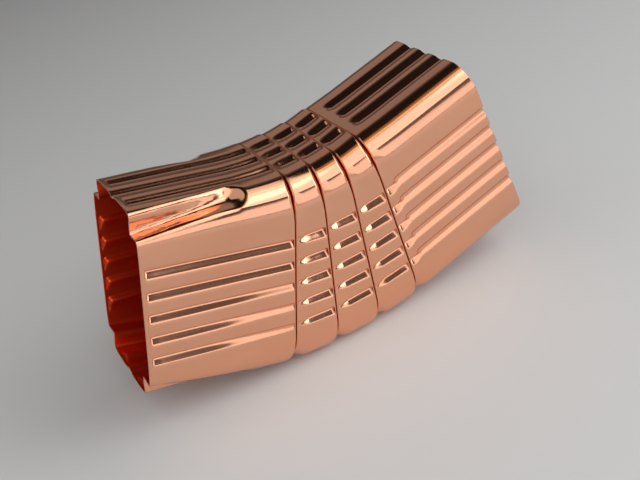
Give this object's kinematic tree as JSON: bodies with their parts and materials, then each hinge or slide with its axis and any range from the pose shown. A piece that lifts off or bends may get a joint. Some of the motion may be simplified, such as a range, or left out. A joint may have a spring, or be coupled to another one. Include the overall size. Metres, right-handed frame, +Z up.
{
  "type": "downspout elbow",
  "caption": "Shallow rectangular downspout elbow of polished copper sheet, corrugated lengthwise, with a crimped bend, one drawn-in end that slides into the next piece and one plain end.",
  "frame": {"origin": "below the middle of the elbow's length, on the plane its heel lies on", "axes": "+Z up, +X towards the plain end, the bend in the XZ plane, +Y across from side face to side face"},
  "size_m": [0.185, 0.0604, 0.0979],
  "materials": {
    "copper_sheet": "bright polished copper sheet"
  },
  "bodies": {
    "root": {"elbow": "copper_sheet"}
  },
  "joints": []
}
